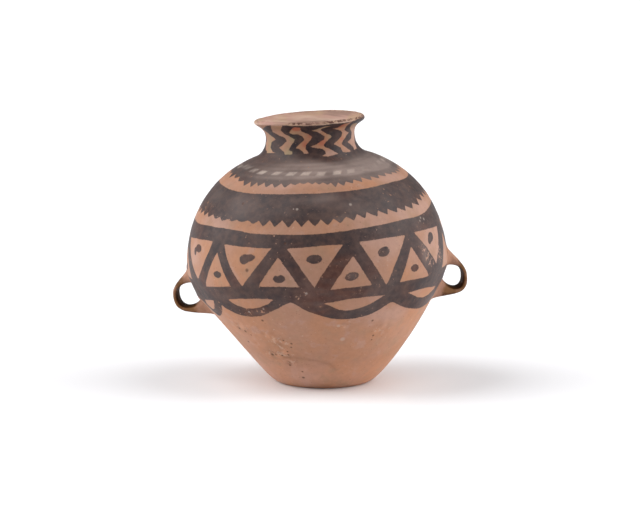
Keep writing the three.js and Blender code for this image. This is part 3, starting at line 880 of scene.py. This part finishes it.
# Strap handles: the fillets at the roots, and the shares of the strap over which its stain and the
# soot and painted shade in its hollow come and go.
ROOT_FLARE = {"side": 7, "back": 5.5, "hole": 4.5}
LEFT_STAIN = (0.12, 0.34, 0.7, 0.9)
RIGHT_STAIN = (0.22, 0.42, 0.78, 0.93)
HOLLOW_SOOT_AND_SHADE = (0.1, 0.4, 0.74, 0.95)


def strap_side(radius, loop, ends, bend):
    top, bottom = (deep_point(up_at(BELLY_HEIGHT + end), bend["bite"]) for end in ends)
    furthest = (radius, BELLY_HEIGHT + loop)
    above = arc(top, bend["angles"][0], furthest, 180, bend["above"])
    below = arc(furthest, 180, bottom, bend["angles"][1], bend["below"])
    return above, below


def along(points, share):
    """Points at even shares of a sampled curve's length."""
    reach = np.concatenate([[0], np.cumsum(np.linalg.norm(np.diff(points, axis=0), axis=1))])
    return np.stack([np.interp(share * reach[-1], reach, column) for column in points.T], -1)


def side_points(side, share):
    above = along(side[0], np.minimum(2 * share, 1))
    below = along(side[1], np.maximum(2 * share - 1, 0))
    return np.where((share < 0.5)[..., None], above, below)


def squared(value, squareness):
    return np.sign(value) * np.abs(value) ** (2 / squareness)


def off_wall(points):
    """Millimetres that points of the upright jar stand off its outer face, near to it."""
    height = points[..., 2]
    up = np.interp(height, FACE[:, 1], FACE_UP)
    gap = np.hypot(points[..., 0], points[..., 1]) - face_point(up)[..., 0]
    return gap * face_normal(up)[..., 0]


def strap(size, share, turn):
    """A strap's rings at the front of the upright jar, their outward ways, and how far out they lie."""
    reach = BELLY_RADIUS + size["reach"]
    back = strap_side(reach, size["loop"], size["back"], BACK_BEND)
    hole = strap_side(reach - STRAP_THICKNESS, size["loop"], size["hole"], HOLE_BEND)
    splay = np.abs(2 * share - 1) ** 3
    width = STRAP_WIDTH + (ROOT_WIDTH - STRAP_WIDTH) * splay
    squareness = STRAP_SQUARENESS + (ROOT_SQUARENESS - STRAP_SQUARENESS) * splay
    outward = (squared(np.sin(turn), squareness) + 1) / 2
    inner, outer = (side_points(side, share[:, 0])[:, None] for side in (hole, back))
    section = inner + (outer - inner) * outward[..., None]
    points = stand(0, section)
    points[..., 0] += squared(np.cos(turn), squareness) * width / 2
    facing = (outer - inner) / np.linalg.norm(outer - inner, axis=-1, keepdims=True)
    aside = np.cos(turn) + 0 * share
    way = np.stack([aside, -np.sin(turn) * facing[..., 0], np.sin(turn) * facing[..., 1]], -1)
    return points, way, outward


def come_and_go(share, span):
    return smoothstep(share, *span[:2]) * (1 - smoothstep(share, *span[2:]))


def handle_piece(name, node, azimuth, size, stain):
    share = np.linspace(0, 1, STRAP_ROWS)[:, None]
    turn = np.arange(STRAP_SIDES)[None, :] * 2 * math.pi / STRAP_SIDES
    points, way, outward = strap(size, share, turn)

    # Run the roots into the wall in a round, and leave the marks of fingers on the strap.
    rear = np.where(np.sin(turn) > 0, ROOT_FLARE["back"], ROOT_FLARE["hole"])
    radius = ROOT_FLARE["side"] * np.cos(turn) ** 2 + rear * np.sin(turn) ** 2
    near = np.clip(off_wall(points) / radius, 0, 1)
    flare = radius * (1 - np.sqrt(1 - (1 - near) ** 2))
    fingers = 0.4 * noise(points, 16, 41) + 0.16 * noise(points, 5, 42) + 0.05 * noise(points, 2, 43)
    points = points + way * (flare + fingers)[..., None]

    spun = (points[..., 0] + 1j * points[..., 1]) * np.exp(1j * np.radians(azimuth))
    points = np.stack([spun.real, spun.imag, points[..., 2]], -1)
    hollow = smoothstep(-np.sin(turn), 0.2, 0.8) * come_and_go(share, HOLLOW_SOOT_AND_SHADE)
    fields = {"loop": come_and_go(share, stain) + 0 * turn, "hollow": hollow, "outward": outward}
    faces = capped_faces(STRAP_ROWS, STRAP_SIDES)
    return make_piece(name, points.reshape(-1, 3), faces, node, fields)


# Materials: worn earthenware, its pigments and its lip.
CLAY = (0.335, 0.178, 0.118)
CLAY_ORANGE = (0.35, 0.172, 0.1)
CLAY_PINK = (0.355, 0.207, 0.155)
CLAY_TAN = (0.30, 0.172, 0.11)
LIP_CLAY = (0.385, 0.225, 0.18)
BLACK = (0.032, 0.0235, 0.025)
RED_BROWN = (0.064, 0.025, 0.019)
NECK_BLACK = (0.018, 0.0125, 0.016)
ASH_AND_SHEEN = (0.225, 0.17, 0.15)
CREAM = (0.44, 0.36, 0.31)
RUST = (0.195, 0.095, 0.04)
BURNT = (0.082, 0.038, 0.018)
SOOT_AND_SHADE = (0.058, 0.022, 0.006)
OLIVE_CLAY = (0.27, 0.215, 0.125)
RED_CLAY = (0.34, 0.1, 0.058)
SCALED = (0.45, 0.30, 0.22)
LIP_TAN = (0.36, 0.235, 0.155)
LIP_BROWN = (0.22, 0.135, 0.105)
LIP_CREAM = (0.52, 0.37, 0.29)
DARK_TEMPER = (0.12, 0.064, 0.045)
PALE_TEMPER = (0.47, 0.36, 0.29)
GREY_BLACK = (0.048, 0.038, 0.038)
CHIP_BROWN = (0.09, 0.04, 0.03)
PIT_BROWN = (0.075, 0.036, 0.024)
WALL_SHEEN = 0.16
STRAP_SHEEN = 0.04

# Pits and specks: azimuth, up, radius in millimetres.
PITS = [
    (-30.5, 116, 1.3), (-53.3, 76, 1.2), (-37.2, 59.7, 1.5), (-34, 60.5, 1), (-29, 60, 1.1),
    (-23.7, 67.5, 0.9), (-23.4, 85.6, 1), (-19, 81, 1.1), (-17.5, 34.6, 1), (-18.5, 24, 1.4),
    (27.4, 109, 1.1), (30.5, 87, 1.1), (30.4, 81, 0.8), (-48, 95, 1.3), (-26.4, 44, 1),
    (-41.1, 251.3, 1.3), (-13.3, 207.7, 1.3), (-24, 62, 1), (-31.4, 178.4, 1.6), (-45, 90, 0.8),
    (-52, 98, 1.1), (-20, 75, 0.9),
]
SPECKS = [
    (-8.3, 245.7, 1.2), (-10.2, 246, 0.7), (20.1, 247.1, 1.3), (8.9, 106.4, 1.6), (11.6, 86.5, 2.2),
    (60.5, 217.5, 1.1), (63, 215, 1.2), (59, 214.5, 0.9), (-36, 127.5, 1.1), (-5, 153.5, 1.2),
    (-27, 133, 0.9),
]


class Shading:
    """A node material in the making. The sizes of its grains and cells are millimetres."""

    def __init__(self, name):
        self.material = bpy.data.materials.new(name)
        self.material.use_nodes = True
        self.tree = self.material.node_tree
        self.shader = self.tree.nodes["Principled BSDF"]
        self.place = self.add("TexCoord").outputs["Object"]

    def add(self, kind, inputs=None, **settings):
        """A shader node with its settings, and with each input set or joined."""
        made = self.tree.nodes.new("ShaderNode" + kind)
        for name, value in settings.items():
            setattr(made, name, value)
        for name, value in (inputs or {}).items():
            if isinstance(value, bpy.types.NodeSocket):
                self.tree.links.new(value, made.inputs[name])
            else:
                made.inputs[name].default_value = value
        return made

    def calculate(self, operation, *values, clamp=False):
        inputs = dict(enumerate(values))
        return self.add("Math", inputs, operation=operation, use_clamp=clamp).outputs[0]

    def plus(self, first, second):
        return self.calculate("ADD", first, second)

    def minus(self, first, second):
        return self.calculate("SUBTRACT", first, second)

    def times(self, first, second, clamp=False):
        return self.calculate("MULTIPLY", first, second, clamp=clamp)

    def mix(self, share, first, second, blend="MIX"):
        """Two colours mixed, with a share of the second."""
        colours = [c if isinstance(c, bpy.types.NodeSocket) else (*c, 1) for c in (first, second)]
        inputs = {0: share, 6: colours[0], 7: colours[1]}
        return self.add("Mix", inputs, data_type="RGBA", blend_type=blend).outputs[2]

    def lit(self, colour, amount):
        """A colour made so many times as light."""
        grey = self.add("CombineXYZ", {0: amount, 1: amount, 2: amount}).outputs[0]
        return self.mix(1.0, colour, grey, "MULTIPLY")

    def ramp(self, value, low, high, bottom=0.0, top=1.0):
        """A value carried smoothly from its range low to high over to the range bottom to top."""
        inputs = {"Value": value, "From Min": low, "From Max": high, "To Min": bottom, "To Max": top}
        return self.add("MapRange", inputs, interpolation_type="SMOOTHSTEP").outputs[0]

    def field(self, name):
        """A value that the mesh carries."""
        return self.add("Attribute", attribute_name=name).outputs["Fac"]

    def grain(self, size, detail=2.0, rough=0.5, stretch=(1, 1, 1)):
        """Noise in patches of about one size."""
        place = self.place
        if stretch != (1, 1, 1):
            place = self.add("VectorMath", {0: place, 1: stretch}, operation="MULTIPLY").outputs[0]
        inputs = {"Vector": place, "Scale": 1000 / size, "Detail": detail, "Roughness": rough}
        return self.add("TexNoise", inputs).outputs["Fac"]

    def cells(self, size, radius, share):
        """Round grains in a share of the cells of one size."""
        found = self.add("TexVoronoi", {"Vector": self.place, "Scale": 1000 / size})
        picked = self.add("SeparateColor", {0: found.outputs["Color"]}).outputs[0]
        chosen = self.calculate("LESS_THAN", picked, share)
        return self.times(chosen, self.ramp(found.outputs["Distance"], radius, radius * 0.5))

    def spots(self, marks):
        """How far inside the nearest of some round marks a place is, from 0 to 1."""
        total = None
        for azimuth, up, radius in marks:
            centre = tuple(lean(wall_place(azimuth, up)) * MM)
            apart = self.add("VectorMath", {0: self.place, 1: centre}, operation="DISTANCE")
            near = self.ramp(apart.outputs["Value"], radius * 1.75 * MM, radius * 0.5 * MM)
            total = near if total is None else self.calculate("MAXIMUM", total, near)
        return total

    def finish(self, colour, roughness, sheen, marks=None):
        """The material, with colour, roughness and the finest relief joined to its shader."""
        self.tree.links.new(colour, self.shader.inputs["Base Color"])
        self.tree.links.new(roughness, self.shader.inputs["Roughness"])
        wiped = self.grain(5, 3, 0.6, (0.12, 0.12, 1))
        height = self.plus(self.grain(1.6, 5, 0.65), self.times(wiped, 0.6))
        if marks is not None:
            height = self.minus(height, self.times(marks, 3.0))
        bump = self.add("Bump", {"Strength": 0.55, "Distance": 0.00022, "Height": height})
        self.tree.links.new(bump.outputs[0], self.shader.inputs["Normal"])
        self.shader.inputs["Specular IOR Level"].default_value = sheen
        return self.material


def clay_colour(make, tint=0.0):
    """Mottled clay: orange, pink and tan patches with dark and pale temper."""
    tinted = make.plus(make.grain(60, 3), make.times(tint, 0.22))
    patch = make.grain(21, 4, 0.6)
    colour = make.mix(make.ramp(tinted, 0.45, 0.66), CLAY, CLAY_ORANGE)
    colour = make.mix(make.ramp(tinted, 0.47, 0.26), colour, CLAY_PINK)
    colour = make.mix(make.ramp(patch, 0.52, 0.68, 0, 0.7), colour, CLAY_TAN)
    colour = make.mix(make.ramp(patch, 0.44, 0.32, 0, 0.6), colour, CLAY_PINK)
    colour = make.lit(colour, make.ramp(make.grain(6, 4, 0.6), 0.3, 0.7, 0.94, 1.05))
    colour = make.mix(make.times(make.cells(2.6, 0.34, 0.1), 0.35), colour, DARK_TEMPER)
    return make.mix(make.times(make.cells(3.4, 0.3, 0.05), 0.2), colour, PALE_TEMPER)


def mouth_colour_and_painted_light(make, inside):
    """The pale inside of the mouth, wiped into streaks, with painted light making it lighter further
    down.
    """
    streak = make.grain(9, 4, 0.6, (0.1, 0.1, 1))
    colour = make.mix(make.ramp(make.grain(26, 3, 0.5), 0.4, 0.62), LIP_CLAY, LIP_TAN)
    colour = make.mix(make.ramp(streak, 0.5, 0.64, 0, 0.7), colour, LIP_CREAM)
    colour = make.mix(make.ramp(streak, 0.47, 0.33, 0, 0.8), colour, LIP_BROWN)
    return make.mix(make.ramp(inside, 1.1, 2.0, 0, 0.8), colour, LIP_CREAM)


def pigment_colour(make):
    """Black and red-brown pigment, brushed round the jar, and blacker on the neck."""
    brush = make.grain(9, 4, 0.6, (0.3, 0.3, 1))
    redness = make.plus(make.field("red"), make.minus(brush, 0.5))
    colour = make.mix(make.ramp(redness, 0.1, 1.1), BLACK, RED_BROWN)
    colour = make.mix(make.ramp(brush, 0.45, 0.7, 0, 0.5), colour, GREY_BLACK)
    return make.mix(make.ramp(make.field("dark"), 0, 1, 0, 0.75), colour, NECK_BLACK)


def painted_earthenware():
    make = Shading("painted_earthenware")
    clay = clay_colour(make, make.field("tint"))
    clay = make.mix(make.ramp(make.field("tint"), 0.8, 2.0, 0, 0.85), clay, RED_CLAY)
    clay = make.lit(clay, make.field("painted_light"))
    clay = make.mix(make.times(make.field("olive"), 0.85), clay, OLIVE_CLAY)
    crackle = make.plus(make.grain(5, 5, 0.7), make.times(make.field("scaling"), 0.2))
    clay = make.mix(make.ramp(crackle, 0.64, 0.74, 0, 0.65), clay, SCALED)
    inside = make.field("inside")
    clay = make.mix(make.calculate("MINIMUM", inside, 1.0), clay, mouth_colour_and_painted_light(make, inside))

    # Paint where the field is positive, with a rough edge, and worn through in places.
    rough_edge = make.minus(make.grain(2.2, 4, 0.7), 0.5)
    cover = make.ramp(make.plus(make.field("paint"), make.times(rough_edge, 1.7)), -0.4, 0.4)
    wear = make.plus(make.grain(4.2, 6, 0.72), make.times(make.field("worn"), 0.33))
    cover = make.times(cover, make.ramp(wear, 0.74, 0.66))
    cover = make.times(cover, make.ramp(make.grain(7, 5, 0.65), 0.3, 0.75, 1.0, 0.86))
    colour = make.mix(cover, clay, pigment_colour(make))

    # A grey-brown veil, partly painted sheen on the shoulder's right, pale dashes, flecks on the lip and
    # pits over both.
    cloud = make.grain(16, 5, 0.6, (0.6, 0.6, 1))
    veil_and_sheen = make.times(make.field("haze_and_sheen"), make.ramp(cloud, 0.25, 0.7, 0.65, 1.25), clamp=True)
    colour = make.mix(make.times(veil_and_sheen, cover), colour, ASH_AND_SHEEN)
    chalk = make.ramp(make.grain(5, 5, 0.7), 0.3, 0.6, 0.35, 0.8)
    colour = make.mix(make.times(make.field("pale"), chalk), colour, CREAM)
    colour = make.mix(make.times(make.spots(SPECKS), 0.45), colour, CREAM)
    flecks = make.ramp(make.grain(2.4, 3, 0.6, (0.7, 0.7, 1)), 0.43, 0.54)
    colour = make.mix(make.times(flecks, make.field("chips")), colour, CHIP_BROWN)
    pits = make.spots(PITS)
    colour = make.mix(make.times(pits, 0.75), colour, PIT_BROWN)
    bare = make.ramp(make.grain(12, 4), 0.3, 0.7, 0.52, 0.68)
    roughness = make.add("Mix", {0: cover, 2: bare, 3: 0.5}, data_type="FLOAT").outputs[0]
    return make.finish(colour, roughness, WALL_SHEEN, pits)


def handle_clay():
    """Clay with a brown stain on the loop, rubbed through in places, and soot with painted shade in its
    hollow.
    """
    make = Shading("handle_clay")
    clay = clay_colour(make)
    cloud = make.minus(make.grain(7, 5, 0.65), 0.5)
    loop = make.plus(make.field("loop"), make.times(cloud, 0.7))
    outward = make.plus(make.field("outward"), make.times(cloud, 0.5))
    brown = make.mix(make.ramp(outward, 0.5, 0.85), RUST, BURNT)
    colour = make.mix(make.ramp(loop, 0.15, 0.7, 0, 0.92), clay, brown)
    rubbed = make.ramp(make.grain(12, 5, 0.65), 0.46, 0.68, 0, 0.6)
    colour = make.mix(rubbed, colour, clay)
    # The loop's inner face, towards the wall, darkened by soot and painted shade.
    hollow = make.plus(make.field("hollow"), make.times(cloud, 0.6))
    colour = make.mix(make.ramp(hollow, 0.25, 0.8, 0, 0.92), colour, SOOT_AND_SHADE)
    roughness = make.ramp(make.grain(9, 4), 0.3, 0.7, 0.5, 0.7)
    return make.finish(colour, roughness, STRAP_SHEEN)


def plain(name, colour):
    material = bpy.data.materials.new(name)
    material.use_nodes = True
    shader = material.node_tree.nodes["Principled BSDF"]
    shader.inputs["Base Color"].default_value = (*colour, 1)
    shader.inputs["Roughness"].default_value = 0.6
    return material


# The pieces. Each end of a wall is its way up outside and inside.
BELLY_SEAM = (BELLY_SEAM_UP, BELLY_SEAM_UP - SEAM_BEVEL)
NECK_SEAM = (NECK_SEAM_UP, NECK_SEAM_UP - SEAM_BEVEL)
RIM_SEAM = (RIM_SEAM_UP, RIM_SEAM_UP - SEAM_BEVEL)
FOOT = (BASE_TOP_UP, up_at(BASE_THICKNESS, WALL_THICKNESS))
LIP = (FACE_LENGTH, FACE_LENGTH)
HANDLE_AZIMUTH = 90 + HANDLE_SETBACK_ANGLE

earthenware = painted_earthenware()
strap_clay = handle_clay()
walls = [
    base_piece(),
    wall_piece("jar_lower_wall", "lower_body", FOOT, BELLY_SEAM, WALL_ROW),
    wall_piece("jar_upper_wall", "upper_body", BELLY_SEAM, NECK_SEAM, WALL_ROW),
    wall_piece("jar_neck", "neck_collar", NECK_SEAM, RIM_SEAM, NECK_ROW),
    wall_piece("jar_rim", "mouth_rim", RIM_SEAM, LIP, RIM_ROW, lip_edge()),
]
for piece in walls:
    piece.data.materials.append(earthenware)
straps = [
    handle_piece("jar_left_handle", "left_handle", -HANDLE_AZIMUTH, LEFT_HANDLE, LEFT_STAIN),
    handle_piece("jar_right_handle", "right_handle", HANDLE_AZIMUTH, RIGHT_HANDLE, RIGHT_STAIN),
]
for piece in straps:
    piece.data.materials.append(strap_clay)


# Floor, light and camera.
FLOOR_REACH = 40
FLOOR_COLOUR = (0.86, 0.86, 0.88)

# Soft lamps: azimuth, elevation, strength and how wide they spread.
SOFTBOXES = [
    ("left_high_softbox", -90, 50, 2.1, 50),
    ("left_low_softbox", -90, 14, 2.0, 60),
    ("right_high_softbox", 92, 52, 1.45, 50),
    ("right_low_softbox", 90, 14, 2.3, 60),
]


def make_floor():
    mesh = bpy.data.meshes.new("floor")
    corners = [(x * FLOOR_REACH, y * FLOOR_REACH, 0) for x, y in ((-1, -1), (1, -1), (1, 1), (-1, 1))]
    mesh.from_pydata(corners, [], [(0, 1, 2, 3)])
    mesh.materials.append(plain("floor", FLOOR_COLOUR))
    add_object("floor", mesh)


def aim(thing, azimuth, elevation):
    """Turn a lamp or a camera to look down from an azimuth and an elevation. Returns the way back."""
    turn, rise = math.radians(azimuth), math.radians(elevation)
    back = Vector((math.sin(turn) * math.cos(rise), -math.cos(turn) * math.cos(rise), math.sin(rise)))
    thing.rotation_mode = "QUATERNION"
    thing.rotation_quaternion = back.to_track_quat("Z", "Y")
    return back


def make_sun(name, azimuth, elevation, strength, spread):
    lamp = bpy.data.lights.new(name, "SUN")
    lamp.energy = strength
    lamp.angle = math.radians(spread)
    aim(add_object(name, lamp), azimuth, elevation)


def make_world():
    world = bpy.data.worlds.new("studio")
    world.use_nodes = True
    background = world.node_tree.nodes["Background"]
    background.inputs["Color"].default_value = (1, 1, 1, 1)
    background.inputs["Strength"].default_value = 0.3
    bpy.context.scene.world = world


CAMERA_DISTANCE = 4.905
CAMERA_PITCH = 10
CAMERA_TARGET = Vector((-0.003685, 0, 0.13399))
IMAGE_WIDTH = 640
FOCAL_PIXELS = 4500


def make_camera():
    data = bpy.data.cameras.new("camera")
    data.sensor_width = 36
    data.lens = FOCAL_PIXELS / IMAGE_WIDTH * data.sensor_width
    data.clip_end = 100
    camera = add_object("camera", data)
    camera.location = CAMERA_TARGET + aim(camera, 0, CAMERA_PITCH) * CAMERA_DISTANCE
    bpy.context.scene.camera = camera


make_floor()
make_world()
for softbox in SOFTBOXES:
    make_sun(*softbox)
make_camera()
bpy.context.scene.view_settings.view_transform = "Standard"
